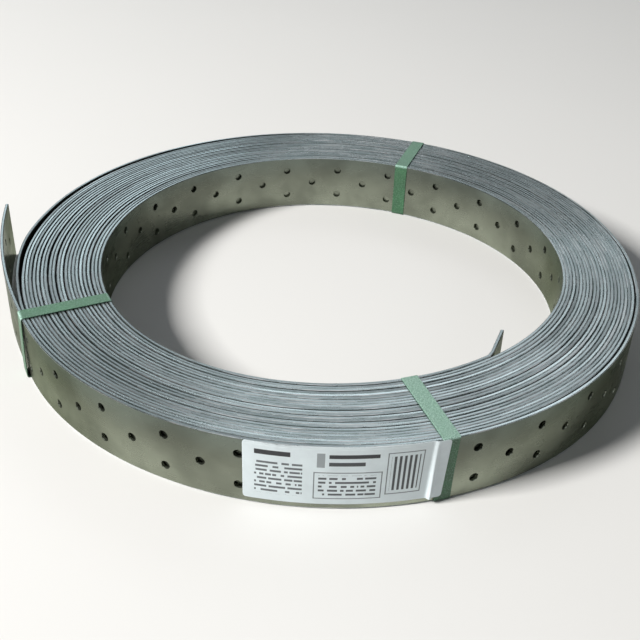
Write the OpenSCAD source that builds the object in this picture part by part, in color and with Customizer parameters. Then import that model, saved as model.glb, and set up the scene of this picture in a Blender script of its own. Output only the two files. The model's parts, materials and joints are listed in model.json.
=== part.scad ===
// Coil of punched steel strap for wind bracing, lying flat and held by three binding bands.
// Millimetres. The origin is on the coil's axis, at the level of the floor, and +Z is up.
// Seen from above, the strap runs clockwise from its inner end in the eye to its outer end.

/* [Strap] */
// Width of the strap, which is the height of the coil
strap_w = 40; // [34:1:60]
// Thickness of the strap
strap_t = 2; // [1.5:0.1:3]
// Diameter of the nail holes
hole_d = 5; // [3:0.5:6]
// Distance along the strap from a pair of holes to the next single hole
hole_pitch = 20; // [16:1:30]
// Distance across the strap between the two holes of a pair
pair_space = 20; // [14:1:22]

/* [Coil] */
// Diameter of the coil's eye
eye_d = 294; // [240:2:360]
// Number of turns that the end faces show
turns = 23; // [8:1:30]
// Slack between one turn and the next
turn_gap = 0.24; // [0.1:0.02:0.4]
// Depth of the gaps between the turns, from each end face
gap_deep = 5; // [2:0.5:6]

/* [Free ends] */
// Length of the outer end, which springs away from the coil
outer_end_len = 145; // [80:5:180]
// Radius of the outer end's curve, at the middle of its thickness
outer_end_r = 410; // [300:10:600]
// Angle at which the outer end lifts off the coil
outer_end_lift = 2.5; // [2:0.5:8]
// Distance from the outer cut edge to the first single hole
outer_hole = 22.5; // [5:0.5:22.5]
// Length of the inner end, which is bent into the eye
inner_end_len = 27.5; // [24:0.5:60]
// Angle at which the inner end is bent away from its turn
inner_end_bend = 30; // [20:1:45]
// Place of the inner end's bend, as an angle around the coil
inner_end_at = -50.8; // [-60:0.2:-30]
// Distance from the inner cut edge to its single hole
inner_hole = 19.5; // [5:0.5:20]

/* [Binding bands] */
// Width of a binding band
band_w = 10; // [6:0.5:16]
// Thickness of a binding band
band_t = 0.6; // [0.4:0.1:1]
// Place of the left band, as an angle around the coil
left_band_at = -151.6; // [-160:0.2:-140]
// Place of the back band, as an angle around the coil
back_band_at = 68.6; // [50:0.2:90]
// Place of the front band, as an angle around the coil
front_band_at = -71.5; // [-80:0.5:-66]

/* [Label] */
// Length of the label along the coil's outside
label_len = 103.5; // [60:0.5:140]
// Height of the label
label_h = 37; // [20:1:38]
// Thickness of the label with its glue
label_t = 0.2; // [0.1:0.05:0.4]
// Gap between the front band's edge and the step that the label makes over it
label_slack = 0.3; // [0.2:0.1:1]

/* [Hidden] */
$fn = 96;

eye_r = eye_d / 2;
coil_r = eye_r + turns * strap_t + (turns - 1) * turn_gap;
// Middle of the outermost turn's thickness, and of the innermost turn's
outer_mid_r = coil_r - strap_t / 2;
inner_mid_r = eye_r + strap_t / 2;
// The coil lies on the undersides of its bands
coil_z = band_t;
middle_z = coil_z + strap_w / 2;
top_z = coil_z + strap_w;
// How far a cut runs past an open face, and a nail hole past the back of its strap
cut = 1;
hole_past = 0.1;
// How far the root of a free end is sunk into the coil
root = 3;

// Angle in degrees that a length takes up on a circle
function turned(length, r) = length / r * 180 / PI;
// Half the angle that a band takes up on the outside of the coil
half_band = asin(band_w / 2 / coil_r);

// The outer end leaves the coil half a millimetre past the left band
outer_end_at = left_band_at - half_band - turned(0.5, coil_r);
// Columns of holes, counted from each cut edge: even ones hold a single hole, odd ones a pair
outer_end_columns = ceil((outer_end_len - outer_hole) / hole_pitch);
inner_end_columns = ceil((inner_end_len - inner_hole) / hole_pitch);
outer_turn_columns = floor(2 * PI * outer_mid_r / hole_pitch);
inner_turn_columns = floor(2 * PI * inner_mid_r / hole_pitch);

// Cuts one column of nail holes through a strap whose outer face crosses the X axis at face.
// With from_eye, face is the inner face, and the holes are cut towards +X.
module hole_column(number, face, from_eye = false) {
    start = from_eye ? face - cut : face - strap_t - hole_past;
    rows = number % 2 == 0 ? [0] : [-pair_space / 2, pair_space / 2];
    for (row = rows) translate([start, 0, middle_z + row])
        rotate([0, 90, 0]) cylinder(d = hole_d, h = strap_t + hole_past + cut);
}

// The turned body, with the gaps between its turns cut into both end faces
module turned_coil() {
    rotate_extrude() difference() {
        translate([eye_r, coil_z]) square([coil_r - eye_r, strap_w]);
        for (i = [1 : turns - 1], z = [coil_z - cut, top_z - gap_deep])
            translate([eye_r + i * (strap_t + turn_gap) - turn_gap, z]) square([turn_gap, gap_deep + cut]);
    }
}

// Places its children about the centre of the outer end's curve. The curve leaves the coil
// on the children's X axis and runs from there to negative angles.
module on_outer_end() {
    rotate(outer_end_at) translate([outer_mid_r, 0, 0]) rotate(outer_end_lift)
        translate([-outer_end_r, 0, 0]) children();
}

// Places its children at the inner end's bend, with the straight end along their +Y axis
module on_inner_end() {
    rotate(inner_end_at) translate([inner_mid_r, 0, 0]) rotate(inner_end_bend) children();
}

module outer_end() {
    on_outer_end() rotate(-turned(outer_end_len, outer_end_r))
        rotate_extrude(angle = turned(outer_end_len + root, outer_end_r))
            translate([outer_end_r - strap_t / 2, coil_z]) square([strap_t, strap_w]);
}

module inner_end() {
    on_inner_end() translate([-strap_t / 2, -root, coil_z]) cube([strap_t, inner_end_len + root, strap_w]);
}

// Every nail hole that shows: through the free ends, and one strap deep in the outermost
// and the innermost turn
module nail_holes() {
    for (i = [0 : outer_end_columns - 1])
        on_outer_end() rotate(-turned(outer_end_len - outer_hole - i * hole_pitch, outer_end_r))
            hole_column(i, outer_end_r + strap_t / 2);
    for (i = [outer_end_columns : outer_end_columns + outer_turn_columns - 1])
        rotate(outer_end_at + turned(outer_hole + i * hole_pitch - outer_end_len, outer_mid_r))
            hole_column(i, coil_r);
    for (i = [0 : inner_end_columns - 1])
        on_inner_end() translate([0, inner_end_len - inner_hole - i * hole_pitch, 0])
            hole_column(i, -strap_t / 2, from_eye = true);
    for (i = [inner_end_columns : inner_end_columns + inner_turn_columns - 1])
        rotate(inner_end_at - turned(inner_hole + i * hole_pitch - inner_end_len, inner_mid_r))
            hole_column(i, eye_r, from_eye = true);
}

module strap_coil() {
    color("lightslategray") difference() {
        union() {
            turned_coil();
            outer_end();
            inner_end();
        }
        nail_holes();
    }
}

// Section of a band that is pulled tight around the coil, with its corners bent round
module band_section() {
    difference() {
        union() {
            translate([eye_r - band_t, coil_z]) square([coil_r - eye_r + 2 * band_t, strap_w]);
            translate([eye_r, coil_z - band_t]) square([coil_r - eye_r, strap_w + 2 * band_t]);
            for (x = [eye_r, coil_r], y = [coil_z, top_z]) translate([x, y]) circle(r = band_t);
        }
        translate([eye_r, coil_z]) square([coil_r - eye_r, strap_w]);
    }
}

module band(at) {
    color("mediumseagreen") rotate(at) intersection() {
        rotate_extrude() band_section();
        translate([0, -band_w / 2, coil_z - band_t - cut])
            cube([coil_r + band_t + cut, band_w, strap_w + 2 * (band_t + cut)]);
    }
}

// One sector of the label, between two angles, on a face of the given radius
module label_sheet(from, to, r, thick) {
    rotate(from) rotate_extrude(angle = to - from) translate([r, top_z - label_h]) square([thick, label_h]);
}

// The label lies on the coil, and its right end steps up onto the middle of the front band
module label() {
    step_at = front_band_at - half_band - turned(label_slack, coil_r);
    step_from = step_at - turned(label_t, coil_r);
    color("whitesmoke") union() {
        label_sheet(front_band_at - turned(label_len, coil_r), step_at, coil_r, label_t);
        label_sheet(step_from, step_at, coil_r, band_t + label_t);
        label_sheet(step_from, front_band_at, coil_r + band_t, label_t);
    }
}

strap_coil();
band(left_band_at);  // left_band
band(back_band_at);  // back_band
band(front_band_at);  // front_band
label();
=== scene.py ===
"""Wind bracing strap in its coil: punched, zinc coated steel strap, wound flat and held by three
green binding bands, with a paper label on its outside. Run as a script, it builds the coil around
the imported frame. Lengths are in metres, +Z is up and the coil's axis is the Z axis."""

import json
import math

import bmesh
import bpy
import numpy as np
from bpy.props import FloatProperty, FloatVectorProperty, IntProperty, PointerProperty
from mathutils import Matrix, Vector


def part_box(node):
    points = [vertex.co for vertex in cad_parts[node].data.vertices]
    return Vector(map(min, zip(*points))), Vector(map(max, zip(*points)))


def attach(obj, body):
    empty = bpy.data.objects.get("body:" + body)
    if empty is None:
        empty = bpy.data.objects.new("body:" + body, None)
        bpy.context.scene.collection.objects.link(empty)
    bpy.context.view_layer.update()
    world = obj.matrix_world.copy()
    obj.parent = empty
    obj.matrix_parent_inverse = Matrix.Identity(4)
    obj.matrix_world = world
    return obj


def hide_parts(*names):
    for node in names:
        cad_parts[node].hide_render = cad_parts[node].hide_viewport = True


bl_info = {
    "name": "Wind bracing strap coil",
    "version": (1, 0, 0),
    "blender": (4, 5, 0),
    "location": "View3D > Sidebar > Strap coil",
    "description": "Winds a punched steel strap into a coil and adds its binding bands and label",
    "category": "Add Mesh",
}

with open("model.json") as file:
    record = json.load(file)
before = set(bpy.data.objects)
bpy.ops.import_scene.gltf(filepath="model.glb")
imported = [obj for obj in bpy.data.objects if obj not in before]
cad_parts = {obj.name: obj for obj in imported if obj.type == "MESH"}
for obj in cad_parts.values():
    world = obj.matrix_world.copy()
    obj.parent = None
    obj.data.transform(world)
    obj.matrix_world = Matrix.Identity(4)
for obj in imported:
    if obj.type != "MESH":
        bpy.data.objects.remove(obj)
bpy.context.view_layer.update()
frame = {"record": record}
MM = 0.001
FULL_TURN = 2 * math.pi


# ---------------- sizes that the frame gives

def mount_place(name):
    """Angle around the coil, distance from its axis and height of one of the frame's mounts."""
    x, y, z = next(m for m in frame["record"]["mounts"] if m["name"] == name)["pos_m"]
    return math.atan2(y, x), math.hypot(x, y), z


def polar(radius, angle):
    """A point at floor level, from its distance from the axis and its angle around the coil."""
    return np.array([radius * math.cos(angle), radius * math.sin(angle), 0])


COIL_LOW, COIL_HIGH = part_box("strap_coil")
COIL_RADIUS = COIL_HIGH.x
EYE_RADIUS = 2 * mount_place("left_rest")[1] - COIL_RADIUS
STRAP_WIDTH = COIL_HIGH.z - COIL_LOW.z
MIDDLE_HEIGHT = (COIL_HIGH.z + COIL_LOW.z) / 2
BAND_THICKNESS = COIL_LOW.z
BAND_ANGLES = {side: mount_place(side + "_rest")[0] for side in ("left", "back", "front")}


# ---------------- settings

def length_setting(name, description, millimetres):
    """A length, with its default in millimetres."""
    return FloatProperty(name=name, description=description, default=millimetres * MM, unit="LENGTH")


def angle_setting(name, description, degrees):
    """An angle, with its default in degrees."""
    return FloatProperty(name=name, description=description, default=math.radians(degrees), subtype="ANGLE")


def colour_setting(name, description, *default):
    """A colour, as linear red, green and blue."""
    return FloatVectorProperty(name=name, description=description, default=default, subtype="COLOR")


class StrapSettings(bpy.types.PropertyGroup):
    """Sizes and colours of the strap"""

    thickness: length_setting("Thickness", "Thickness of the strap", 2)
    hole_diameter: length_setting("Hole", "Diameter of the nail holes", 5)
    hole_pitch: length_setting(
        "Hole pitch", "Distance along the strap from a pair of holes to the next single hole", 20)
    pair_space: length_setting("Pair", "Distance across the strap between the two holes of a pair", 20)
    corner: length_setting("Corner", "Radius of the strap's slit corners", 0.42)
    whole_turns: IntProperty(
        name="Whole turns", description="Whole turns from the inner end's bend to the outer end", default=22)
    bend_angle: angle_setting("Bend at", "Place of the inner end's bend, as an angle around the coil", -50.8)
    inner_length: length_setting("Inner end", "Length of the bent inner end", 27.5)
    inner_bend: angle_setting("Inner bend", "Angle at which the inner end turns into the eye", 30)
    inner_hole: length_setting("Inner hole", "Distance from the inner cut edge to its single hole", 13.5)
    outer_length: length_setting(
        "Outer end", "Length of the outer end, which springs away from the coil", 145)
    outer_radius: length_setting("Outer curve", "Radius of the outer end's curve", 410)
    outer_lift: angle_setting("Outer lift", "Angle at which the outer end lifts off the coil", 2.5)
    outer_hole: length_setting("Outer hole", "Distance from the outer cut edge to its single hole", 17.7)
    outer_stretch: FloatProperty(
        name="Outer stretch", default=1.012,
        description="How much further apart the holes stand on the outer turns")
    sag: length_setting("Sag", "How far a turn may sink between the bands", 0.40)
    seed: IntProperty(name="Seed", description="Seed of the slack between the turns", default=4)
    face_colour: colour_setting("Zinc", "Colour of the zinc on the strap's faces", 0.245, 0.265, 0.212)
    edge_colour: colour_setting("Slit edge", "Colour of the strap's slit edges", 0.57, 0.67, 0.69)
    corner_colour: colour_setting("Corner colour", "Colour of the strap's corners", 0.50, 0.61, 0.61)


class BandSettings(bpy.types.PropertyGroup):
    """Sizes and colour of the binding bands"""

    width: length_setting("Width", "Width of a band", 9.4)
    to_end: length_setting(
        "To outer end", "From the left band's edge to where the strap's outer end springs off", 0.8)
    corner: length_setting("Corner", "Radius of a band's bends over the coil's edges", 0.9)
    knurl: length_setting("Knurl", "Depth of the rolled pattern", 0.05)
    colour: colour_setting("Green", "Colour of the band's plastic", 0.034, 0.116, 0.052)


class LabelSettings(bpy.types.PropertyGroup):
    """Sizes and colours of the label"""

    length: length_setting("Length", "Length of the label along the coil", 104)
    thickness: length_setting("Thickness", "Thickness of the paper", 0.12)
    corner: length_setting("Corner", "Radius of the label's corners", 1.8)
    past: length_setting(
        "Past the band", "How far the label's right edge lies past the middle of the front band", 0.8)
    slant: length_setting("Slant", "How far the foot of the label's right edge is drawn in", 2.6)
    colour: colour_setting("Paper", "Colour of the paper", 0.65, 0.73, 0.76)
    ink: colour_setting("Ink", "Colour of the printed bars", 0.022, 0.024, 0.028)


class StageSettings(bpy.types.PropertyGroup):
    """Camera and floor"""

    lens: FloatProperty(name="Lens", description="Focal length in millimetres", default=54.494)
    distance: length_setting("Distance", "From the camera to its target", 635.41)
    elevation: angle_setting("Elevation", "Angle of the camera above the floor", 32.93)
    roll: angle_setting("Roll", "Turn of the camera about its line of sight", 2.159)
    target: FloatVectorProperty(
        name="Target", description="Point on the floor that the camera looks at", subtype="XYZ",
        default=(-0.003275, -0.023162, 0.0))
    floor: colour_setting("Floor", "Colour of the floor", 0.80, 0.80, 0.79)


class CoilSettings(bpy.types.PropertyGroup):
    """All settings of the strap coil"""

    strap: PointerProperty(type=StrapSettings)
    band: PointerProperty(type=BandSettings)
    label: PointerProperty(type=LabelSettings)
    stage: PointerProperty(type=StageSettings)


# ---------------- node helpers

def add(tree, kind, inputs=None, **settings):
    """Adds a node. Each input is linked if it is a socket, and set as a value if it isn't."""
    node = tree.nodes.new(kind)
    for name, value in settings.items():
        setattr(node, name, value)
    for name, value in (inputs or {}).items():
        if isinstance(value, bpy.types.NodeSocket):
            tree.links.new(value, node.inputs[name])
        else:
            node.inputs[name].default_value = value
    return node


def made(tree, kind, inputs=None, **settings):
    """Adds a node and gives its first output."""
    return add(tree, kind, inputs, **settings).outputs[0]


def maths(tree, operation, *values, clamp=False):
    """A Math node's result."""
    return made(tree, "ShaderNodeMath", dict(enumerate(values)), operation=operation, use_clamp=clamp)


def vector_maths(tree, operation, **values):
    """A Vector Math node's vector. Its inputs are called a, b and scale."""
    names = {"a": 0, "b": 1, "scale": "Scale"}
    inputs = {names[name]: value for name, value in values.items()}
    return made(tree, "ShaderNodeVectorMath", inputs, operation=operation)


def split(tree, place):
    """The X, Y and Z of a vector."""
    return add(tree, "ShaderNodeSeparateXYZ", {"Vector": place}).outputs


def joined(tree, **values):
    """A vector from its X, Y and Z."""
    return made(tree, "ShaderNodeCombineXYZ", values)


def inside(tree, value, low, high):
    """1 where a value lies between two others, and 0 elsewhere."""
    above = maths(tree, "GREATER_THAN", value, low)
    return maths(tree, "MULTIPLY", above, maths(tree, "LESS_THAN", value, high))


def new_geometry_tree(name, sockets):
    """A Geometry Nodes tree with a geometry input and output and the named inputs."""
    tree = bpy.data.node_groups.new(name, "GeometryNodeTree")
    tree.interface.new_socket("Geometry", in_out="INPUT", socket_type="NodeSocketGeometry")
    tree.interface.new_socket("Geometry", in_out="OUTPUT", socket_type="NodeSocketGeometry")
    for socket_name, kind in sockets.items():
        tree.interface.new_socket(socket_name, in_out="INPUT", socket_type="NodeSocket" + kind)
    return tree, tree.nodes.new("NodeGroupInput").outputs, tree.nodes.new("NodeGroupOutput").inputs


def plain_mesh(piece):
    """The piece's mesh as its modifier leaves it."""
    graph = bpy.context.evaluated_depsgraph_get()
    return bpy.data.meshes.new_from_object(piece.evaluated_get(graph), depsgraph=graph)


def run_tree(piece, tree, values):
    """Runs a Geometry Nodes tree on a piece and leaves the result as its plain mesh."""
    modifier = piece.modifiers.new(tree.name, "NODES")
    modifier.node_group = tree
    sockets = {s.name: s.identifier for s in tree.interface.items_tree if s.in_out == "INPUT"}
    for name, value in values.items():
        modifier[sockets[name]] = value
    mesh = plain_mesh(piece)
    piece.modifiers.remove(modifier)
    piece.data = mesh
    mesh.name = piece.name
    if not mesh.polygons:
        raise RuntimeError(f"{piece.name} came out empty")
    return mesh


def new_piece(name, data):
    """A new object in the scene."""
    piece = bpy.data.objects.new(name, data)
    bpy.context.scene.collection.objects.link(piece)
    return piece


# ---------------- materials

def new_material(name):
    """An empty node material and its Principled BSDF."""
    material = bpy.data.materials.new(name)
    material.use_nodes = True
    tree = material.node_tree
    tree.nodes.clear()
    shader = tree.nodes.new("ShaderNodeBsdfPrincipled")
    output = tree.nodes.new("ShaderNodeOutputMaterial")
    tree.links.new(shader.outputs["BSDF"], output.inputs["Surface"])
    return material, tree, shader


def surface_place(tree, along=1.0, across=1.0):
    """Place on the piece's own sheet of stock, with each direction stretched by its factor."""
    sheet = made(tree, "ShaderNodeUVMap", uv_map="Sheet")
    return vector_maths(tree, "MULTIPLY", a=sheet, b=(along, across, 1.0))


def object_place(tree):
    """Place in the object's own frame, in metres."""
    return add(tree, "ShaderNodeTexCoord").outputs["Object"]


def noise(tree, scale, detail=3.0, rough=0.5, distortion=0.0, place=None):
    """Noise between 0 and 1, on the sheet unless a place is given. Scale is in cells for each metre."""
    inputs = {"Vector": place or surface_place(tree), "Scale": scale, "Detail": detail,
              "Roughness": rough, "Distortion": distortion}
    return add(tree, "ShaderNodeTexNoise", inputs).outputs["Fac"]


def stretch(tree, value, low, high, to_low=0.0, to_high=1.0):
    """Maps low..high onto to_low..to_high and holds it there."""
    inputs = {"Value": value, "From Min": low, "From Max": high, "To Min": to_low, "To Max": to_high}
    return made(tree, "ShaderNodeMapRange", inputs, interpolation_type="SMOOTHSTEP")


def blend(tree, share, first, second):
    """A colour between two colours, each a socket or an RGB value."""
    def full(colour):
        return colour if isinstance(colour, bpy.types.NodeSocket) else (*colour, 1.0)
    inputs = {"Factor": share, 6: full(first), 7: full(second)}
    return add(tree, "ShaderNodeMix", inputs, data_type="RGBA").outputs[2]


def tinted(tree, colour, *tints):
    """A colour that passes into tints. Each is a colour, a mask, the two values of the mask between
    which it comes in, and how much of it there is at most."""
    for tint, mask, low, high, most in tints:
        colour = blend(tree, stretch(tree, mask, low, high, 0.0, most), colour, tint)
    return colour


def shade_by(tree, colour, factor):
    """A colour socket made lighter or darker."""
    return vector_maths(tree, "SCALE", a=colour, scale=factor)


def shade(colour, factor):
    """A colour made lighter or darker."""
    return tuple(min(1.0, channel * factor) for channel in colour)


def set_surface(tree, shader, colour, roughness, height=None, depth=0.0, metallic=0.0):
    """Links colour and roughness to the shader, and a bump of the given depth in metres."""
    tree.links.new(colour, shader.inputs["Base Color"])
    tree.links.new(roughness, shader.inputs["Roughness"])
    shader.inputs["Metallic"].default_value = metallic
    if height is not None:
        bump = made(tree, "ShaderNodeBump", {"Height": height, "Distance": depth})
        tree.links.new(bump, shader.inputs["Normal"])


# Tints that the materials pass into
# Painted shade, darker and cooler, for the top of the strap's faces
SHADED_ZINC = (0.150, 0.195, 0.185)
DULL_EDGE = (0.372, 0.348, 0.372)
# Painted glints on the slit edges
PAINTED_GLINT = (0.78, 0.82, 0.83)
# Painted shade on the corners at the back left, for the dark gaps between the turns
PAINTED_GAP_SHADE = (0.03, 0.035, 0.035)
BAND_GRAIN = (0.26, 0.42, 0.32)
# Whitening at a band's bends, and painted light on its top
WHITENED_AND_LIT_GREEN = (0.41, 0.62, 0.54)


def zinc_face_material(settings):
    """Rolled zinc on the strap's broad faces: olive grey satin, faintly scratched, and cloudy, the clouds
    being mottling of the zinc and painted reflection at once. The foot is lighter with a painted
    reflection of the pale floor, and the top darker and cooler with painted shade."""
    material, tree, shader = new_material("zinc_face")
    zinc = tuple(settings.face_colour)
    # The clouds are mottling of the zinc and also stand in for cloudy reflections, as painted reflection
    clouds = noise(tree, 22, 3, 0.5, 0.3)
    smudges = noise(tree, 70, 4, 0.6, 0.8, surface_place(tree, 0.6, 1.0))
    streaks = noise(tree, 60, 4, 0.6, place=surface_place(tree, 1.0, 22.0))
    grain = noise(tree, 1500, 2, 0.6)
    colour = tinted(tree, shade(zinc, 0.66), (shade(zinc, 1.18), clouds, 0.34, 0.68, 1.0),
                    (shade(zinc, 0.62), smudges, 0.58, 0.80, 0.35),
                    (shade(zinc, 1.5), streaks, 0.58, 0.75, 0.2),
                    (shade(zinc, 0.55), grain, 0.62, 0.75, 0.15))
    # Painted reflection and painted shade: the face is lightened towards its foot, where it would mirror the
    # pale floor, and darkened and cooled towards its top
    up = split(tree, surface_place(tree))["Y"]
    wavy = maths(tree, "ADD", up, maths(tree, "MULTIPLY", clouds, 30 * MM))
    sheen = stretch(tree, wavy, 0.0, 30 * MM, 1.0, 0.0)
    colour = blend(tree, sheen, shade_by(tree, colour, 0.76), shade_by(tree, colour, 1.25))
    colour = tinted(tree, colour, (SHADED_ZINC, wavy, 16 * MM, 44 * MM, 0.5))
    roughness = maths(tree, "ADD", stretch(tree, smudges, 0.3, 0.7, 0.22, 0.34),
                      stretch(tree, streaks, 0.4, 0.7, 0.0, 0.08))
    height = maths(tree, "ADD", maths(tree, "MULTIPLY", clouds, 3.0), maths(tree, "ADD", smudges, grain))
    set_surface(tree, shader, colour, roughness, height, 0.02 * MM, 0.9)
    shader.inputs["Specular Tint"].default_value = (*shade(zinc, 1.6), 1.0)
    return material


def slit_edge_material(settings):
    """The strap's slit edges: pale blue grey, drawn out lengthwise, each turn a little different, with
    painted glints in random patches.
    """
    material, tree, shader = new_material("slit_edge")
    steel = tuple(settings.edge_colour)
    turns = noise(tree, 2.2, 3, 0.7)
    patches = noise(tree, 26, 4, 0.6)
    glint_patches = noise(tree, 7.0, 2, 0.5)
    fine = noise(tree, 900, 2, 0.6, place=object_place(tree))
    # Painted glints: in random patches along the turns the edge goes near white, standing in for light caught
    # there
    colour = tinted(tree, shade(steel, 0.68),
                    (shade(steel, 1.25), turns, 0.3, 0.7, 1.0), (DULL_EDGE, patches, 0.5, 0.8, 0.4),
                    (PAINTED_GLINT, glint_patches, 0.62, 0.72, 0.45), (shade(steel, 0.6), fine, 0.55, 0.75, 0.2))
    roughness = maths(tree, "ADD", stretch(tree, turns, 0.35, 0.65, 0.34, 0.18),
                      stretch(tree, patches, 0.3, 0.7, 0.0, 0.10))
    set_surface(tree, shader, colour, roughness, fine, 0.015 * MM, 0.85)
    return material


def corner_material(settings):
    """The strap's rounded corners, lighter in random patches, and darkened towards the back left with
    painted shade that stands in for the dark gaps between the turns there.
    """
    material, tree, shader = new_material("dark_corner")
    dark = tuple(settings.corner_colour)
    corner_patches = noise(tree, 40, 4, 0.6)
    # Painted shade: the corners darken towards the back left, standing in for the dark gaps between the turns
    # there
    place = split(tree, object_place(tree))
    to_back_left = maths(tree, "SUBTRACT", maths(tree, "MULTIPLY", place["Y"], 0.57),
                         maths(tree, "MULTIPLY", place["X"], 0.82))
    colour = tinted(tree, shade(dark, 0.7), (shade(dark, 2.0), corner_patches, 0.35, 0.75, 1.0),
                    (PAINTED_GAP_SHADE, to_back_left, 105 * MM, 150 * MM, 0.88))
    set_surface(tree, shader, colour, stretch(tree, corner_patches, 0.3, 0.7, 0.22, 0.32), corner_patches, 0.02 * MM, 0.95)
    return material


def band_material(settings):
    """Green plastic band, whitened where it bends over the coil's edges, and lightened on its top with
    painted light: a lit top with a painted sheen, most on the front band.
    """
    material, tree, shader = new_material("green_band")
    green = tuple(settings.colour)
    clouds = noise(tree, 90, 4, 0.6)
    grain = noise(tree, 1300, 2, 0.6)
    colour = tinted(tree, shade(green, 0.8), (shade(green, 1.2), clouds, 0.35, 0.7, 1.0),
                    (BAND_GRAIN, grain, 0.48, 0.66, 0.35))
    worn = add(tree, "ShaderNodeAttribute", attribute_name="worn").outputs["Fac"]
    specks = stretch(tree, grain, 0.40, 0.62, 0.6, 1.3)
    # Whitened at the bends, and painted light on the top
    colour = blend(tree, maths(tree, "MULTIPLY", worn, specks, clamp=True), colour, WHITENED_AND_LIT_GREEN)
    set_surface(tree, shader, colour, stretch(tree, clouds, 0.3, 0.7, 0.33, 0.48), grain, 0.03 * MM)
    return material


def label_material(settings):
    """Coated paper with plain printed bars and rules."""
    material, tree, shader = new_material("label_paper")
    paper = tuple(settings.colour)
    clouds = noise(tree, 60, 4, 0.6)
    fibres = noise(tree, 1200, 3, 0.6)
    colour = tinted(tree, shade(paper, 0.95), (shade(paper, 1.05), clouds, 0.3, 0.7, 1.0))
    colour = blend(tree, printed_ink(tree), colour, tuple(settings.ink))
    set_surface(tree, shader, colour, stretch(tree, clouds, 0.3, 0.7, 0.32, 0.45), fibres, 0.01 * MM)
    return material


def floor_material(settings):
    """Plain pale floor."""
    material, tree, shader = new_material("pale_floor")
    pale = tuple(settings.floor)
    clouds = noise(tree, 3, 3, 0.5, place=object_place(tree))
    colour = blend(tree, clouds, shade(pale, 0.99), shade(pale, 1.01))
    set_surface(tree, shader, colour, stretch(tree, clouds, 0.2, 0.8, 0.75, 0.85))
    return material


# ---------------- print on the label

# Left, right, bottom and top of each printed area in millimetres from the label's lower left
# corner, its pattern and how dark it is
LABEL_PRINT = (
    (6, 24, 29.5, 32.5, "plain", 1.0),
    (6, 30, 4.5, 26.5, "dashes", 0.85),
    (37, 41, 24, 33, "plain", 0.6),
    (43, 68, 29.8, 32.2, "plain", 1.0),
    (43, 61, 25.0, 27.4, "plain", 0.95),
    (38, 67, 5.5, 19.0, "dashes", 0.9),
    (74, 89, 8, 30, "stripes", 0.95),
)
# Left, right, bottom and top of each frame, the width of its lines and how dark they are
LABEL_FRAMES = ((35.5, 70, 3.5, 21.0), (72, 91, 5.5, 32.5))
FRAME_LINE, FRAME_DARKNESS = 0.6, 0.75
# Distance from one row of dashes to the next, and from one stripe to the next
PRINT_PITCH = 2.6 * MM
# Dashes: cells of noise for each metre, its shift from row to row, and its level where they begin
DASH_SCALE, ROW_SHIFT, DASH_LEVEL = 420.0, 7.3, 0.44


def printed_box(tree, along, up, left, right, bottom, top):
    """1 inside a rectangle on the label, with its sides in millimetres from the lower left corner."""
    columns = inside(tree, along, left * MM, right * MM)
    return maths(tree, "MULTIPLY", columns, inside(tree, up, bottom * MM, top * MM))


def dashes(tree, along, up):
    """1 on rows of dashes of uneven length along the label, different in each row."""
    row = maths(tree, "DIVIDE", up, PRINT_PITCH)
    place = joined(tree, X=maths(tree, "MULTIPLY", along, DASH_SCALE),
                   Y=maths(tree, "MULTIPLY", maths(tree, "FLOOR", row), ROW_SHIFT))
    broken = maths(tree, "GREATER_THAN", noise(tree, 1.0, 0.0, place=place), DASH_LEVEL)
    return maths(tree, "MULTIPLY", inside(tree, maths(tree, "FRACT", row), 0.25, 0.75), broken)


def stripes(tree, along):
    """1 on upright stripes."""
    return maths(tree, "LESS_THAN", maths(tree, "FRACT", maths(tree, "DIVIDE", along, PRINT_PITCH)), 0.5)


def printed_ink(tree):
    """How dark the label is printed at each place: bars, rows of dashes, frames and stripes, all
    without content."""
    along, up, _ = split(tree, surface_place(tree))
    patterns = {"dashes": dashes(tree, along, up), "stripes": stripes(tree, along)}
    ink = 0.0
    for *box, pattern, dark in LABEL_PRINT:
        mask = printed_box(tree, along, up, *box)
        if pattern in patterns:
            mask = maths(tree, "MULTIPLY", mask, patterns[pattern])
        ink = maths(tree, "MAXIMUM", ink, maths(tree, "MULTIPLY", mask, dark))
    for box in LABEL_FRAMES:
        hole = [side + shift for side, shift in zip(box, (FRAME_LINE, -FRAME_LINE) * 2)]
        lines = maths(tree, "SUBTRACT", printed_box(tree, along, up, *box),
                      printed_box(tree, along, up, *hole))
        ink = maths(tree, "MAXIMUM", ink, maths(tree, "MULTIPLY", lines, FRAME_DARKNESS))
    return ink


# ---------------- path of the strap

STEPS_IN_A_TURN = 240
# The outermost turn's shape, at angles in degrees from its start: how far its outside lies inside
# the coil's radius, and how much wider than usual the gap inside it is, both in millimetres
OUTER_DIP = ((0, 2.1), (4, 2.25), (9, 2.1), (15, 1.6), (21, 0.8), (27, 0.25), (38, 0.5), (50, 0.2),
             (58, 0), (200, 0), (214, 0.9), (229, 0.9), (250, 0), (360, 0))
LOOSE_TURN = ((-25, 0), (-5, 0.3), (4, 0.7), (9, 1.0), (15, 1.7), (21, 2.1), (27, 2.7), (31, 2.6),
              (40, 2.1), (75, 2.0), (100, 1.0), (122, 0.3), (150, 0.1), (190, 0.3), (215, 0.7),
              (255, 0.7), (280, 0.35), (305, 0.45), (330, 0.25), (360, 0.35))
# Wide gaps inside the coil: turns from the inner end's bend to where each starts, and its share of
# the slack. Each lies inside the strap from there on, for one turn.
WIDE_GAPS = ((0.6, 1.5), (2.0, 0.8), (2.95, 3.5), (4.3, 3.5), (6.0, 2.0), (7.4, 1.0), (9.5, 3.5),
             (11.45, 4.5), (13.45, 4.0), (15.45, 2.5), (16.6, 1.2), (17.95, 1.5))
USUAL_GAP = 0.10
# Turns that the strap takes to step outwards over the start of a wide gap
GAP_STEP = 0.2
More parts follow.
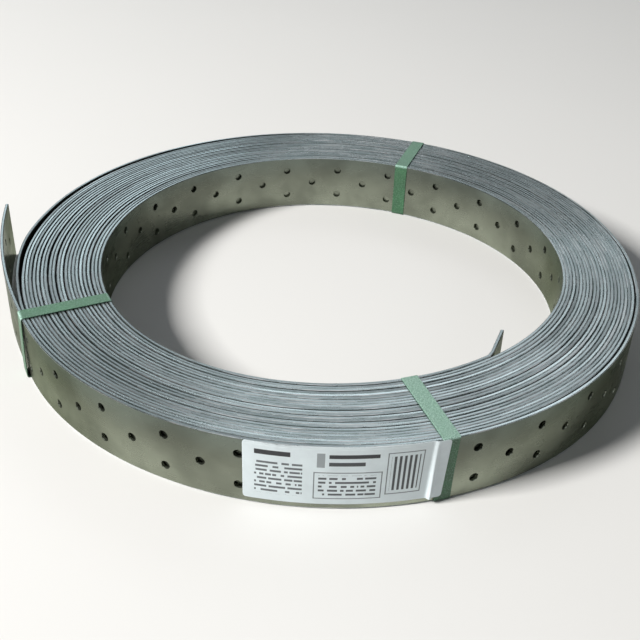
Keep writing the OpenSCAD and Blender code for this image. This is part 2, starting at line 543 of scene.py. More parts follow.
# How evenly the gaps share the slack, and how much that varies around the coil. They are most even
# at this angle in degrees, at the front left.
EVENNESS, EVENNESS_VARIES, MOST_EVEN_AT = 0.08, 0.08, 225
# Degrees past the outer end's root in which the slack of one turn passes into that of the next
SEAM = 12
# How far the eye is out of round, in millimetres: waves around it, height and angle of the crest
EYE_WAVES = ((1, 2.37, -28), (2, 1.09, 34), (3, 1.14, -4))
# Smallest gap between two turns, and how far a turn wanders in and out
LEAST_GAP = 0.03 * MM
WANDER = 0.05 * MM
# Turns at both ends of the coil that don't sag, and turns in which the sag then grows to the full
LEVEL_TURNS, SAG_GROWS = 0.6, 0.5
# Length of the rounding at the inner end's bend
BEND_ROUNDING = 1.5 * MM
# Points along the inner end, in its bend and along the outer end
INNER_STEPS, BEND_STEPS, OUTER_STEPS = 12, 6, 40


def eye_deviation(angle):
    """How far the eye's wall stands outside its mean radius at an angle around the coil."""
    return sum(height * MM * np.cos(waves * (angle - math.radians(crest)))
               for waves, height, crest in EYE_WAVES)


def ripple(random, turn, slowest, fastest, count):
    """A smooth random curve along the strap between about -1 and 1, made of waves whose periods
    lie between two numbers of turns."""
    periods = random.uniform(slowest, fastest, count)
    starts = random.uniform(0, FULL_TURN, count)
    waves = [np.sin(FULL_TURN * turn / period + start) for period, start in zip(periods, starts)]
    return np.sum(waves, axis=0) / math.sqrt(count / 2) / 1.6


def slack_share(random, turn):
    """Share of the coil's slack that lies inside each place along the strap, from 0 to 1: once
    with the turns bunched, and once with even gaps."""
    width = USUAL_GAP * np.exp(ripple(random, turn, 0.5, 2.1, 9))
    for start, wider in WIDE_GAPS:
        width += wider / GAP_STEP * np.exp(-math.pi * ((turn - start) / GAP_STEP) ** 2)
    bunched = np.cumsum(width)
    even = np.cumsum(np.ones_like(turn))
    return bunched / bunched[-1], even / even[-1]


def turns_wound(strap):
    """Turns from the inner end's bend to where the outer end leaves the coil, past the left band."""
    band = bpy.context.scene.strap_coil.band
    leaves_at = BAND_ANGLES["left"] - math.asin(band.width / 2 / COIL_RADIUS) - band.to_end / COIL_RADIUS
    return strap.whole_turns + (strap.bend_angle - leaves_at) / FULL_TURN % 1


def usual_ramp(strap):
    """How far a turn winds outwards when the slack is shared evenly."""
    return (COIL_RADIUS - EYE_RADIUS - strap.thickness) / (turns_wound(strap) - 0.5)


def wound_radii(strap):
    """Angle and radius of the strap's middle line, from the inner end's bend to the place where
    the outer end leaves the coil. Going outwards the strap runs clockwise, seen from above."""
    random = np.random.default_rng(strap.seed)
    turns = turns_wound(strap)
    count = int(turns * STEPS_IN_A_TURN)
    turn = turns - np.arange(count, -1, -1) / STEPS_IN_A_TURN
    angle = strap.bend_angle - FULL_TURN * turn
    inner = EYE_RADIUS + strap.thickness / 2 - usual_ramp(strap) / 2 + eye_deviation(angle)
    bunched, even = slack_share(random, turn)
    evenness = EVENNESS + EVENNESS_VARIES * np.cos(angle - math.radians(MOST_EVEN_AT))
    share = evenness * even + (1 - evenness) * bunched
    steel = inner + strap.thickness * turn
    last = slice(count - STEPS_IN_A_TURN, count + 1)
    part = np.degrees(FULL_TURN * (turn - turn[last][0]))
    extra = smooth_table(part, LOOSE_TURN)

    # The slack at each angle fills what the strap leaves between the eye and the outside
    outermost = COIL_RADIUS - strap.thickness / 2 - smooth_table(part[last], OUTER_DIP)
    slack = (outermost - steel[last] - extra[last]) / share[last]
    seam = np.clip(part[last] / SEAM, 0, 1)
    slack = slack * seam + slack[-1] * (1 - seam)
    slack = slack[(np.arange(count + 1) - last.start) % STEPS_IN_A_TURN]
    radius = steel + slack * share + extra
    radius += WANDER * ripple(random, turn, 0.23, 0.71, 7) * np.clip(turns - 1 - turn, 0, 1)
    for i in range(count, STEPS_IN_A_TURN - 1, -1):
        inner_neighbour = i - STEPS_IN_A_TURN
        radius[inner_neighbour] = min(radius[inner_neighbour], radius[i] - strap.thickness - LEAST_GAP)
    return turn, angle, radius


def smooth_table(place, table):
    """Values of a table in millimetres, eased between its rows."""
    places, values = np.array(table).T
    row = np.clip(np.searchsorted(places, place, side="right") - 1, 0, len(places) - 2)
    share = np.clip((place - places[row]) / (places[row + 1] - places[row]), 0, 1)
    share = share * share * (3 - 2 * share)
    return (values[row] + share * (values[row + 1] - values[row])) * MM


def strap_path(strap):
    """Points of the strap's middle line from its inner cut edge to its outer one."""
    turn, angle, radius = wound_radii(strap)
    random = np.random.default_rng(strap.seed + 1)
    # The bands pull on the outermost and innermost turns, and those between sit a little lower
    between = np.clip(np.minimum(turn - LEVEL_TURNS, turn[-1] - LEVEL_TURNS - turn) / SAG_GROWS, 0, 1)
    sag = strap.sag * between * (0.65 + 0.35 * np.clip(ripple(random, turn, 0.4, 1.7, 6), -1, 1))
    coil = np.stack([radius * np.cos(angle), radius * np.sin(angle), MIDDLE_HEIGHT - sag], axis=1)
    return np.concatenate([inner_end_path(strap, coil), coil, outer_end_path(strap, coil)])


def inner_end_path(strap, coil):
    """The straight inner end, up to a small rounding at its bend."""
    direction = polar(1, strap.bend_angle + strap.inner_bend + math.pi / 2)
    straight = coil[0] + np.linspace(strap.inner_length, BEND_ROUNDING, INNER_STEPS)[:, None] * direction
    share = np.linspace(0, 1, BEND_STEPS)[1:-1, None]
    start, finish = straight[-1], coil[0] + (coil[1] - coil[0]) * 0.9
    bend = (1 - share) ** 2 * start + 2 * share * (1 - share) * coil[0] + share ** 2 * finish
    coil[0] = finish
    return np.concatenate([straight, bend])


def outer_end_path(strap, coil):
    """The outer end, which lifts off the coil and springs away from it on a wider curve."""
    turned = np.linspace(0, strap.outer_length / strap.outer_radius, OUTER_STEPS)[1:]
    wide = strap.outer_radius * np.exp(-1j * turned) - strap.outer_radius
    leaves_at = complex(coil[-1][0], coil[-1][1])
    points = leaves_at + wide * np.exp(1j * (np.angle(leaves_at) + strap.outer_lift))
    return np.stack([points.real, points.imag, np.full(len(points), coil[-1][2])], axis=1)


# ---------------- lengths of stock

FACE, SLIT, CORNER, HOLE_WALL = range(4)
HOLE_SIDES = 16
# Width of a hole's rounded rim
HOLE_RIM = 0.15 * MM
# Corners closer than this are one point
SAME_POINT = 0.001 * MM
# Turns that are laid from punched strap, at the eye and at the outside. The rest hide their holes.
PUNCHED_INSIDE, PUNCHED_OUTSIDE = 2.1, 2.05


class StockMesh:
    """A mesh built face by face, in which equal corners are one vertex."""

    def __init__(self):
        self.mesh = bmesh.new()
        self.corners = {}
        self.kind = self.mesh.faces.layers.int.new("kind")

    def key(self, point):
        return tuple(round(value / SAME_POINT) for value in point)

    def corner(self, point):
        key = self.key(point)
        if key not in self.corners:
            self.corners[key] = self.mesh.verts.new(point)
        return self.corners[key]

    def face(self, points, kind):
        self.mesh.faces.new([self.corner(p) for p in points])[self.kind] = kind

    def finish(self, name):
        """Marks the edges between faces of different kinds as sharp, and returns the mesh."""
        bmesh.ops.recalc_face_normals(self.mesh, faces=self.mesh.faces)
        for edge in self.mesh.edges:
            edge.smooth = len({face[self.kind] for face in edge.link_faces}) < 2
        for face in self.mesh.faces:
            face.smooth = True
        return as_mesh(self.mesh, name)


def as_mesh(work, name):
    """A new mesh with the given name, from a bmesh that isn't needed any more."""
    data = bpy.data.meshes.new(name)
    work.to_mesh(data)
    work.free()
    return data


def slit_profile(strap):
    """Corner points of the strap's upper slit edge, from its outer face to its inner one."""
    flat_y, flat_z = strap.thickness / 2 - strap.corner, STRAP_WIDTH / 2 - strap.corner
    arc = [math.radians(a) for a in (0, 45, 90)]
    outer = [(flat_y + strap.corner * math.cos(a), flat_z + strap.corner * math.sin(a)) for a in arc]
    return outer + [(-y, z) for y, z in reversed(outer)]


def add_slit_edges(stock, strap, columns):
    """The rounded upper and lower edges of a length of strap."""
    profile = slit_profile(strap)
    for left, right in zip(columns, columns[1:]):
        for up in (1, -1):
            for (y0, z0), (y1, z1) in zip(profile, profile[1:]):
                flat = abs(z0 - z1) < SAME_POINT
                points = [(x, y, up * z) for x, y, z in
                          ((left, y0, z0), (right, y0, z0), (right, y1, z1), (left, y1, z1))]
                stock.face(points[::up], SLIT if flat else CORNER)


def add_hole(stock, strap, x, z, reach):
    """One punched hole, with the square of face around it on both sides and its rounded rims."""
    half, bore = strap.thickness / 2, strap.hole_diameter / 2

    def ring(radius, y):
        turns = [FULL_TURN * i / HOLE_SIDES for i in range(HOLE_SIDES)]
        return [(x + radius * math.cos(a), y, z + radius * math.sin(a)) for a in turns]

    def add_wall(start, end, side):
        for i in range(HOLE_SIDES):
            j = (i + 1) % HOLE_SIDES
            stock.face([start[i], start[j], end[j], end[i]][::-side], HOLE_WALL)

    for side in (1, -1):
        square = [(x + dx * reach, side * half, z + dz * reach)
                  for dx, dz in ((1, 0), (1, 1), (0, 1), (-1, 1), (-1, 0), (-1, -1), (0, -1), (1, -1))]
        rim = ring(bore + HOLE_RIM, side * half)
        for i, a in enumerate(square):
            b = square[(i + 1) % len(square)]
            middle = rim[2 * i + 1]
            stock.face([a, b, rim[(2 * i + 2) % HOLE_SIDES], middle][::-side], FACE)
            stock.face([a, middle, rim[2 * i]][::-side], FACE)
        add_wall(rim, ring(bore, side * (half - HOLE_RIM)), side)
    add_wall(ring(bore, half - HOLE_RIM), ring(bore, HOLE_RIM - half), 1)


def strap_length(strap, punched):
    """One length of flat strap that repeats: a single hole and a pair, or plain strap. It lies
    along X from 0, with its thickness along Y and its width along Z."""
    stock = StockMesh()
    pitch = strap.hole_pitch
    reach = pitch / 4
    columns = np.linspace(0, 2 * pitch, 9 if punched else 5)
    pair = strap.pair_space / 2
    face_edge = STRAP_WIDTH / 2 - strap.corner
    rows = [-face_edge, -pair - reach, -pair + reach, pair - reach, pair + reach, face_edge]
    holes = [(pitch / 2, 0), (3 * pitch / 2, pair), (3 * pitch / 2, -pair)] if punched else []
    for x, z in holes:
        add_hole(stock, strap, x, z, reach)
    for left, right in zip(columns, columns[1:]):
        for low, high in zip(rows, rows[1:]):
            x, z = (left + right) / 2, (low + high) / 2
            if any(abs(x - hx) < reach and abs(z - hz) < reach for hx, hz in holes):
                continue
            for side in (1, -1):
                # A face takes in the middle of its left or right side where a hole's square has one
                loop = [(px, side * strap.thickness / 2, pz) for px, pz in
                        ((left, low), (right, low), (right, z), (right, high), (left, high), (left, z))]
                loop = [p for p in loop if p[2] != z or stock.key(p) in stock.corners]
                stock.face(loop[::-side], FACE)
    add_slit_edges(stock, strap, columns)
    return stock.finish("punched_strap" if punched else "plain_strap")


# ---------------- following a path

# Points closer than this are welded
WELD = 0.01 * MM


def position(tree):
    """The place of each point."""
    return made(tree, "GeometryNodeInputPosition")


def follow_path(tree, geometry, path, across):
    """Bends stock that lies along X onto a path: Y points outwards and Z runs along the across
    direction."""
    along, outer, up = split(tree, position(tree))
    sample = add(tree, "GeometryNodeSampleCurve", {"Curves": path, "Length": along},
                 mode="LENGTH", use_all_curves=True).outputs
    outwards = vector_maths(tree, "CROSS_PRODUCT", a=across, b=sample["Tangent"])
    outwards = vector_maths(tree, "NORMALIZE", a=outwards)
    moved = sample["Position"]
    for direction, distance in ((outwards, outer), (across, up)):
        moved = vector_maths(tree, "ADD", a=moved, b=vector_maths(tree, "SCALE", a=direction, scale=distance))
    return made(tree, "GeometryNodeSetPosition", {"Geometry": geometry, "Position": moved})


def stored(tree, geometry, name, value, data_type, domain):
    """Keeps a value on the geometry under a name."""
    return made(tree, "GeometryNodeStoreNamedAttribute", {"Geometry": geometry, "Name": name, "Value": value},
                data_type=data_type, domain=domain)


def stored_sheet(tree, geometry):
    """Keeps each point's place on the flat stock as the UV map Sheet, in metres."""
    along, _, up = split(tree, position(tree))
    return stored(tree, geometry, "Sheet", joined(tree, X=along, Y=up), "FLOAT2", "CORNER")


def row_of_lengths(tree, stock, count, start, step, size=1.0, turned=0.0):
    """Copies of one length of stock in a row along X."""
    places = {"Count": count, "Start Location": joined(tree, X=start), "Offset": joined(tree, X=step)}
    line = made(tree, "GeometryNodeMeshLine", places, mode="OFFSET")
    return made(tree, "GeometryNodeInstanceOnPoints", {
        "Points": line, "Instance": stock, "Scale": joined(tree, X=size, Y=1.0, Z=1.0),
        "Rotation": (0.0, 0.0, turned)})


def object_geometry(tree, socket):
    """The geometry of an object that is one of the tree's inputs."""
    return add(tree, "GeometryNodeObjectInfo", {"Object": socket}).outputs["Geometry"]


def path_length(tree, path):
    """The length of a path."""
    return made(tree, "GeometryNodeCurveLength", {"Curve": path})


def realized(tree, geometry):
    """Copies as real geometry."""
    return made(tree, "GeometryNodeRealizeInstances", {"Geometry": geometry})


def welded(tree, geometry):
    """Geometry whose equal points are one."""
    return made(tree, "GeometryNodeMergeByDistance", {"Geometry": geometry, "Distance": WELD})


def painted(tree, geometry, material, chosen=True):
    """The geometry with a material on the chosen faces."""
    return made(tree, "GeometryNodeSetMaterial", {
        "Geometry": geometry, "Selection": chosen, "Material": material})


def strap_tree():
    """Geometry Nodes: punched lengths of strap from both cut edges inwards, plain strap between
    them, joined and bent onto a path."""
    tree, given, result = new_geometry_tree("Punched strap on a path", {
        "Path": "Object", "Plain length": "Object", "Repeat": "Float", "Inner margin": "Float",
        "Outer margin": "Float", "Outer repeat": "Float", "Inner lengths": "Int", "Outer lengths": "Int",
        "Faces": "Material", "Edges": "Material", "Corners": "Material"})
    path = object_geometry(tree, given["Path"])
    plain = object_geometry(tree, given["Plain length"])
    punched, repeat, outer_repeat = given["Geometry"], given["Repeat"], given["Outer repeat"]
    inner_margin, outer_margin = given["Inner margin"], given["Outer margin"]
    inner_stop = maths(tree, "ADD", inner_margin, maths(tree, "MULTIPLY", given["Inner lengths"], repeat))
    outer_start = maths(tree, "SUBTRACT", path_length(tree, path), outer_margin)
    outer_stop = maths(tree, "SUBTRACT", outer_start,
                       maths(tree, "MULTIPLY", given["Outer lengths"], outer_repeat))
    hidden = maths(tree, "SUBTRACT", outer_stop, inner_stop)
    hidden_count = maths(tree, "ROUND", maths(tree, "DIVIDE", hidden, repeat))
    hidden_step = maths(tree, "DIVIDE", hidden, hidden_count)
    back = maths(tree, "MULTIPLY", outer_repeat, -1.0)
    # Each row's stock, count, start, step, length of one copy where it differs, and turn
    rows = (
        (punched, given["Inner lengths"], inner_margin, repeat, None, 0.0),
        (punched, given["Outer lengths"], outer_start, back, outer_repeat, math.pi),
        (plain, hidden_count, inner_stop, hidden_step, hidden_step, 0.0),
        (plain, 1, 0.0, repeat, inner_margin, 0.0),
        (plain, 1, outer_start, repeat, outer_margin, 0.0),
    )
    strap = tree.nodes.new("GeometryNodeJoinGeometry")
    for stock, count, start, step, length, turned in rows:
        size = 1.0 if length is None else maths(tree, "DIVIDE", length, repeat)
        tree.links.new(row_of_lengths(tree, stock, count, start, step, size, turned), strap.inputs[0])
    flat = welded(tree, realized(tree, strap.outputs[0]))
    bent = follow_path(tree, stored_sheet(tree, flat), path, (0.0, 0.0, 1.0))
    kind = made(tree, "GeometryNodeInputNamedAttribute", {"Name": "kind"}, data_type="INT")
    bent = painted(tree, bent, given["Faces"])
    for wanted, material in ((SLIT, given["Edges"]), (CORNER, given["Corners"])):
        bent = painted(tree, bent, material, inside(tree, kind, wanted - 0.5, wanted + 0.5))
    tree.links.new(bent, result["Geometry"])
    return tree


def path_object(name, points, closed=False):
    """A curve object through the points."""
    curve = bpy.data.curves.new(name, "CURVE")
    curve.dimensions = "3D"
    spline = curve.splines.new("POLY")
    spline.points.add(len(points) - 1)
    spline.points.foreach_set("co", np.column_stack([points, np.ones(len(points))]).ravel())
    spline.use_cyclic_u = closed
    return new_piece(name, curve)


def close_ends(mesh):
    """Closes the two cut ends of the strap."""
    work = bmesh.new()
    work.from_mesh(mesh)
    open_edges = [edge for edge in work.edges if edge.is_boundary]
    for face in bmesh.ops.holes_fill(work, edges=open_edges, sides=0)["faces"]:
        face.material_index = 1
        for edge in face.edges:
            edge.smooth = False
    if any(not edge.is_manifold for edge in work.edges):
        raise RuntimeError("the strap isn't closed")
    work.to_mesh(mesh)
    work.free()


class COIL_OT_strap(bpy.types.Operator):
    """Wind the punched strap into its coil"""

    bl_idname = "strap_coil.wind_strap"
    bl_label = "Wind strap"

    def execute(self, context):
        strap = context.scene.strap_coil.strap
        path = path_object("strap_path", strap_path(strap))
        plain = new_piece("plain_length", strap_length(strap, punched=False))
        piece = new_piece("wound_strap", strap_length(strap, punched=True))
        repeat = 2 * strap.hole_pitch
        punched_outside = PUNCHED_OUTSIDE * FULL_TURN * COIL_RADIUS + strap.outer_length
        mesh = run_tree(piece, strap_tree(), {
            "Path": path, "Plain length": plain, "Repeat": repeat,
            "Inner margin": strap.inner_hole - strap.hole_pitch / 2,
            "Outer margin": strap.outer_hole - strap.hole_pitch / 2,
            "Outer repeat": repeat * strap.outer_stretch,
            "Inner lengths": math.ceil(PUNCHED_INSIDE * FULL_TURN * EYE_RADIUS / repeat),
            "Outer lengths": math.ceil(punched_outside / repeat),
            "Faces": zinc_face_material(strap), "Edges": slit_edge_material(strap),
            "Corners": corner_material(strap)})
        for helper in (path, plain):
            bpy.data.objects.remove(helper)
        close_ends(mesh)
        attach(piece, "root")
        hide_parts("strap_coil")
        return {"FINISHED"}


# ---------------- binding bands

# How far each band's outer and inner legs are pulled round from its place, in degrees, and how
# far its outer leg's foot stands off the coil and leans along it, in millimetres
BAND_SKEW = {"left": (-0.4, 0.1, 1.2, 0.0), "back": (0.35, -0.6, 0.1, 0.0), "front": (0.25, -0.4, 0.0, -1.5)}
# How much painted light each band's top gets, from 0 to 1, for a lit top with a painted sheen
BAND_TOP_LIGHT = {"left": 0.17, "back": 0.31, "front": 0.58}
# How far from a bend the band is whitened, and how far below the coil's top its top begins
WORN_REACH, TOP_BEGINS = 1.6 * MM, 0.1 * MM
# Size of the pads of the rolled pattern, and width of the rounding along a band's edges
PAD = 1 * MM
BAND_ROUNDING = 0.15 * MM
# Steps in each round corner of a band's path, and down its outer leg
CORNER_STEPS, LEG_STEPS = 6, 8


def rounded_loop(left, right, bottom, top, radius):
    """Points of a rectangle with round corners, as radius from the axis and height, clockwise
    from the middle of its underside."""
    points = [((left + right) / 2, bottom)]
    for x, z, start in ((left + radius, bottom + radius, 270), (left + radius, top - radius, 180),
                        (right - radius, top - radius, 90), (right - radius, bottom + radius, 0)):
        for i in range(CORNER_STEPS + 1):
            a = math.radians(start - 90 * i / CORNER_STEPS)
            points.append((x + radius * math.cos(a), z + radius * math.sin(a)))
        if start == 90:
            points += [(right, top + (bottom - top) * i / LEG_STEPS) for i in range(1, LEG_STEPS)]
    return points


def band_length(band):
    """One short length of band that repeats, its outside rolled with a fine pattern of pads."""
    stock = StockMesh()
    half = band.width / 2
    flat = half - BAND_ROUNDING
    across = np.linspace(-flat, flat, 2 * round(band.width / PAD) + 1)
    along = np.linspace(0, PAD, 3)
    outside = BAND_THICKNESS / 2
    rim = ((flat, None), (half, outside - BAND_ROUNDING), (half, BAND_ROUNDING - outside), (flat, -outside))

    def height(i, j):
        return outside - (band.knurl if (i + j) % 2 else 0)

    for i, (left, right) in enumerate(zip(along, along[1:])):
        for j, (low, high) in enumerate(zip(across, across[1:])):
            stock.face([(left, height(i, j), low), (left, height(i, j + 1), high),
                        (right, height(i + 1, j + 1), high), (right, height(i + 1, j), low)], FACE)
        for up, j in ((1, len(across) - 1), (-1, 0)):
            for (z0, y0), (z1, y1) in zip(rim, rim[1:]):
                a, b = (height(i, j), height(i + 1, j)) if y0 is None else (y0, y0)
                points = [(left, a, up * z0), (right, b, up * z0), (right, y1, up * z1), (left, y1, up * z1)]
                stock.face(points[::up], SLIT)
        stock.face([(left, -outside, -flat), (right, -outside, -flat),
                    (right, -outside, flat), (left, -outside, flat)], FACE)
    return stock.finish("band_length")


def band_tree():
    """Geometry Nodes: short lengths of band in a row, joined and bent onto a closed path."""
    tree, given, result = new_geometry_tree("Band around the coil", {
        "Path": "Object", "Repeat": "Float", "Across": "Vector", "Outer bend": "Vector",
        "Inner bend": "Vector", "Worn": "Float", "Top wear": "Float", "Plastic": "Material"})
    path, repeat, across = object_geometry(tree, given["Path"]), given["Repeat"], given["Across"]
    total = path_length(tree, path)
    count = maths(tree, "ROUND", maths(tree, "DIVIDE", total, repeat))
    step = maths(tree, "DIVIDE", total, count)
    row = row_of_lengths(tree, given["Geometry"], count, 0.0, step, maths(tree, "DIVIDE", step, repeat))
    bent = welded(tree, follow_path(tree, stored_sheet(tree, realized(tree, row)), path, across))
    place = position(tree)
    from_bends = []
    for bend in ("Outer bend", "Inner bend"):
        offset = vector_maths(tree, "SUBTRACT", a=place, b=given[bend])
        flat = vector_maths(tree, "PROJECT", a=offset, b=across)
        beside = vector_maths(tree, "SUBTRACT", a=offset, b=flat)
        from_bends.append(add(tree, "ShaderNodeVectorMath", {0: beside}, operation="LENGTH").outputs["Value"])
    nearest = maths(tree, "MINIMUM", *from_bends)
    worn = maths(tree, "SUBTRACT", 1.0, maths(tree, "DIVIDE", nearest, given["Worn"]), clamp=True)
    # Painted light: the band's top is lightened by its given share, for a lit top with a painted sheen
    on_top = maths(tree, "GREATER_THAN", split(tree, place)["Z"], COIL_HIGH.z - TOP_BEGINS)
    worn = maths(tree, "MAXIMUM", worn, maths(tree, "MULTIPLY", on_top, given["Top wear"]))
    marked = stored(tree, bent, "worn", worn, "FLOAT", "POINT")
    tree.links.new(painted(tree, marked, given["Plastic"]), result["Geometry"])
    return tree


class COIL_OT_bands(bpy.types.Operator):
    """Pull the three binding bands tight around the coil"""

    bl_idname = "strap_coil.wrap_bands"
    bl_label = "Wrap bands"

    def execute(self, context):
        band = context.scene.strap_coil.band
        strap = context.scene.strap_coil.strap
        tree, plastic = band_tree(), band_material(band)
        wall = BAND_THICKNESS / 2
        top = Vector((0, 0, COIL_HIGH.z + wall))
        for side, angle in BAND_ANGLES.items():
            outer_skew, inner_skew, foot, lean = BAND_SKEW[side]
            eye = EYE_RADIUS + eye_deviation(angle) + eye_ramp(strap, angle) - wall
            start = polar(eye, angle + math.radians(inner_skew))
            outwards = polar(COIL_RADIUS + wall, angle + math.radians(outer_skew)) - start
            reach = np.linalg.norm(outwards)
            outwards /= reach
            loop = rounded_loop(0, reach, wall, COIL_HIGH.z + wall, band.corner)
            across = np.array([-outwards[1], outwards[0], 0])
            points = np.array([start + outwards * (r + foot_shift(r / reach, z, foot))
                               + across * foot_shift(r / reach, z, lean) + [0, 0, z] for r, z in loop])
            path = path_object("band_path", points, closed=True)
            piece = new_piece(f"{side}_binding_band", band_length(band))
            run_tree(piece, tree, {
                "Path": path, "Repeat": PAD, "Across": Vector(across), "Worn": WORN_REACH,
                "Outer bend": Vector(start + outwards * reach) + top, "Inner bend": Vector(start) + top,
                "Top wear": BAND_TOP_LIGHT[side], "Plastic": plastic})
            bpy.data.objects.remove(path)
            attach(piece, "root")
            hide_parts(f"{side}_band")
        return {"FINISHED"}


def foot_shift(share, height, foot):
    """How far a point of a band's outer leg is pushed out, most at the leg's foot."""
    return foot * MM * max(0.0, 2 * share - 1) * math.cos(math.pi / 2 * min(1, height / COIL_HIGH.z))


def eye_ramp(strap, angle):
    """How far the first turn has wound outwards from the eye's mean radius at an angle."""
    return usual_ramp(strap) * ((strap.bend_angle - angle) / FULL_TURN % 1 - 0.5)


# ---------------- label

# How far the label's printed side stands off the coil, and how much further over the front band
LABEL_LIFT = 0.155 * MM
LABEL_RISE = BAND_THICKNESS + 0.15 * MM
# Where the step onto the band begins, from the label's right edge, and its length
STEP_FROM_END, STEP_LENGTH = 9.0 * MM, 3.2 * MM
# The crease on that step: height, distance from the step's start, and length
CREASE_HEIGHT, CREASE_AFTER, CREASE_LENGTH = 1.7 * MM, 1.6 * MM, 1.2 * MM
# The wrinkles at the upper edge: height, depth, and their place and length along the label
WRINKLE_HEIGHT, WRINKLE_DEPTH, WRINKLE_AT, WRINKLE_LENGTH = 0.7 * MM, 1.6 * MM, 19 * MM, 10 * MM
# Height of the slight waves in the paper
PAPER_WAVES = 0.015 * MM
# Lines of the label's grid: how many stand evenly, and the length at its end that has more, and how
# many there. Each round corner has as many again as the last number says.
COLUMNS = (120, 12 * MM, 40)
ROWS = (26, 4 * MM, 9)
CORNER_LINES = 7


def label_stand_off(along, up, length, height):
    """How far the label's printed side stands off the strap: it steps over the front band, with a
    crease on the step, and its upper edge is wrinkled."""
    past_step = along - length + STEP_FROM_END
    rise = np.clip(past_step / STEP_LENGTH, 0, 1)
    step = LABEL_RISE * rise * rise * (3 - 2 * rise)
    crease = CREASE_HEIGHT * np.exp(-((past_step - CREASE_AFTER) / CREASE_LENGTH) ** 2)
    crease *= np.clip(1.15 - up / height, 0, 1)
    near_top = np.exp((up - height) / WRINKLE_DEPTH)
    on_left = np.exp(-((along - WRINKLE_AT) / WRINKLE_LENGTH) ** 2)
    folds = 0.7 + 0.3 * np.sin(along / MM * 2.1) * np.cos(along / MM * 0.9)
    waves = PAPER_WAVES * np.sin(along / MM * 0.35) * np.cos(up / MM * 0.28)
    return LABEL_LIFT + step + crease + WRINKLE_HEIGHT * near_top * on_left * folds + waves


def corner_inset(x, length, radius):
    """How far the label's upper and lower edges are cut back by its round corners."""
    from_end = min(x, length - x)
    if from_end >= radius:
        return 0.0
    return radius - math.sqrt(max(0.0, radius ** 2 - (radius - from_end) ** 2))


def grid_lines(size, corner, count, fine_length, fine_count):
    """Places of the grid's lines from 0 to a size, closer at the round corners and near the end."""
    at_corner = np.linspace(0, corner, CORNER_LINES)
    return np.unique(np.concatenate([
        np.linspace(0, size, count), np.linspace(size - fine_length, size, fine_count),
        at_corner, size - at_corner]))


class COIL_OT_label(bpy.types.Operator):
    """Stick the paper label on the outside of the coil, over the front band"""

    bl_idname = "strap_coil.stick_label"
    bl_label = "Stick label"

    def execute(self, context):
        label = context.scene.strap_coil.label
        low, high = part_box("label")
        length, height = label.length, high.z - low.z
        start = BAND_ANGLES["front"] + (label.past - length) / COIL_RADIUS
        columns = grid_lines(length, label.corner, *COLUMNS)
        rows = grid_lines(height, label.corner, *ROWS)
        work = bmesh.new()
        sheet = work.loops.layers.uv.new("Sheet")
        grid = []
        for x in columns:
            inset = corner_inset(x, length, label.corner)
            line = []
            for z in rows:
                up = inset + (height - 2 * inset) * z / height
                reach = COIL_RADIUS + label_stand_off(x, up, length, height)
                slant = label.slant * (1 - up / height) * (x / length) ** 4
                angle = start + (x - slant) / COIL_RADIUS
                point = polar(reach, angle) + [0, 0, low.z + up]
                line.append((work.verts.new(point), x, up))
            grid.append(line)
        for left, right in zip(grid, grid[1:]):
            for corners in zip(left, right, right[1:], left[1:]):
                face = work.faces.new([corner[0] for corner in corners])
                face.smooth = True
                for loop, (_, x, up) in zip(face.loops, corners):
                    loop[sheet].uv = (x, up)
        piece = new_piece("paper_label", as_mesh(work, "paper_label"))
        piece.data.materials.append(label_material(label))
        thicken(piece, label.thickness)
        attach(piece, "root")
        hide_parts("label")
        return {"FINISHED"}


def thicken(piece, thickness):
    """Gives a sheet its thickness, inwards, and keeps the result as its plain mesh."""
    solid = piece.modifiers.new("Thickness", "SOLIDIFY")
    solid.thickness = thickness
    solid.offset = -1
    piece.data = plain_mesh(piece)
    piece.modifiers.remove(solid)


# ---------------- stage

FLOOR_HALF = 3.0
COOL = (0.93, 0.97, 1.0)
WORLD_STRENGTH = 0.07
# Name, place, target, width and height, power in watts and colour of each soft light. Only the
# smoothest edges mirror the small streak light.
LIGHTS = (
    ("key_light", (-2.34, -1.0, 1.95), (0, 0, 0), (0.8, 0.8), 165, (1.0, 0.98, 0.95)),
    ("overhead_panel", (0, -1.1, 1.5), (0, -1.1, 0), (2.4, 1.4), 10, COOL),
    ("back_panel", (0.40, 1.77, 1.50), (0, 0, 0), (1.45, 0.72), 3.6, COOL),
    ("low_back_panel", (-0.82, 2.04, 0.96), (0, 0, 0), (1.2, 0.68), 2.7, (0.86, 0.96, 1.0)),
    ("side_panel", (2.15, -0.25, 1.1), (0, 0, 0), (1.4, 0.7), 3.0, COOL),
    ("streak_light", (-0.44, 1.90, 1.39), (0, 0, 0), (0.12, 0.12), 0.12, COOL),
)


def soft_light(name, place, target, size, power, colour):
    """An area light that shines at a target."""
    light = bpy.data.lights.new(name, "AREA")
    light.shape = "RECTANGLE"
    light.size, light.size_y = size
    light.energy = power
    light.color = colour
    lamp = new_piece(name, light)
    lamp.location = place
    lamp.rotation_euler = (Vector(target) - Vector(place)).to_track_quat("-Z", "Y").to_euler()
    return lamp


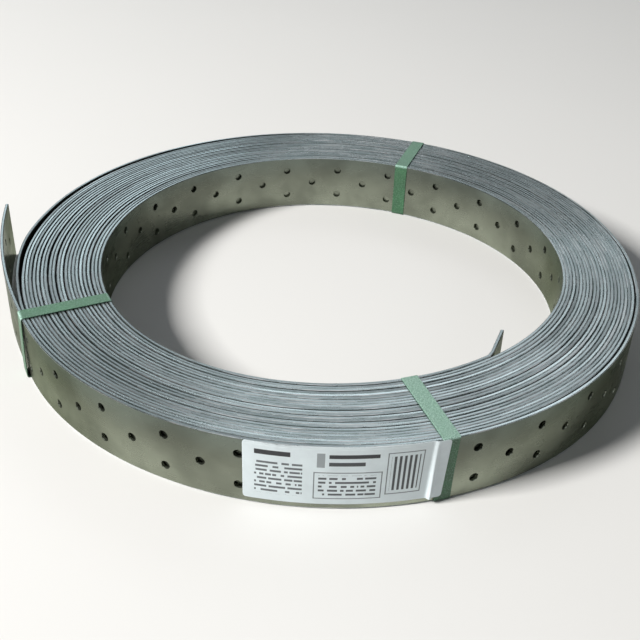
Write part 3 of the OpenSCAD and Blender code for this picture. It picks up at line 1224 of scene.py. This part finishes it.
class COIL_OT_stage(bpy.types.Operator):
    """Set up the floor, the soft lights and the camera"""

    bl_idname = "strap_coil.set_stage"
    bl_label = "Set stage"

    def execute(self, context):
        scene = context.scene
        stage = scene.strap_coil.stage
        corners = [(x * FLOOR_HALF, y * FLOOR_HALF, 0) for x, y in ((-1, -1), (1, -1), (1, 1), (-1, 1))]
        data = bpy.data.meshes.new("floor")
        data.from_pydata(corners, [], [(0, 1, 2, 3)])
        data.materials.append(floor_material(stage))
        new_piece("floor", data)

        world = bpy.data.worlds.new("studio")
        world.use_nodes = True
        backdrop = world.node_tree.nodes["Background"].inputs
        backdrop["Color"].default_value = (*COOL, 1.0)
        backdrop["Strength"].default_value = WORLD_STRENGTH
        scene.world = world
        lamps = {row[0]: soft_light(*row) for row in LIGHTS}
        # The strong light is kept out of the metal's gloss, and the panel overhead shows only there
        lamps["key_light"].visible_glossy = False
        lamps["overhead_panel"].visible_diffuse = False

        camera = bpy.data.cameras.new("camera")
        camera.lens = stage.lens
        eye = new_piece("camera", camera)
        direction = Vector((0, math.cos(stage.elevation), -math.sin(stage.elevation)))
        turn = direction.to_track_quat("-Z", "Y").to_matrix().to_4x4() @ Matrix.Rotation(stage.roll, 4, "Z")
        eye.matrix_world = Matrix.Translation(Vector(stage.target) - direction * stage.distance) @ turn
        scene.camera = eye
        scene.view_settings.view_transform = "Standard"
        return {"FINISHED"}


# ---------------- add-on

class COIL_PT_panel(bpy.types.Panel):
    """Lists the steps that build the coil"""

    bl_idname = "COIL_PT_panel"
    bl_label = "Strap coil"
    bl_space_type = "VIEW_3D"
    bl_region_type = "UI"
    bl_category = "Strap coil"

    def draw(self, context):
        settings = context.scene.strap_coil
        for group, step in ((settings.strap, COIL_OT_strap), (settings.band, COIL_OT_bands),
                            (settings.label, COIL_OT_label), (settings.stage, COIL_OT_stage)):
            box = self.layout.box()
            for name in group.__annotations__:
                box.prop(group, name)
            box.operator(step.bl_idname)


CLASSES = (StrapSettings, BandSettings, LabelSettings, StageSettings, CoilSettings,
           COIL_OT_strap, COIL_OT_bands, COIL_OT_label, COIL_OT_stage, COIL_PT_panel)


def register():
    for cls in CLASSES:
        bpy.utils.register_class(cls)
    bpy.types.Scene.strap_coil = PointerProperty(type=CoilSettings)


def unregister():
    del bpy.types.Scene.strap_coil
    for cls in reversed(CLASSES):
        bpy.utils.unregister_class(cls)


def main():
    """Builds every piece and the stage."""
    register()
    bpy.ops.strap_coil.wind_strap()
    bpy.ops.strap_coil.wrap_bands()
    bpy.ops.strap_coil.stick_label()
    bpy.ops.strap_coil.set_stage()


if __name__ == "__main__":
    main()
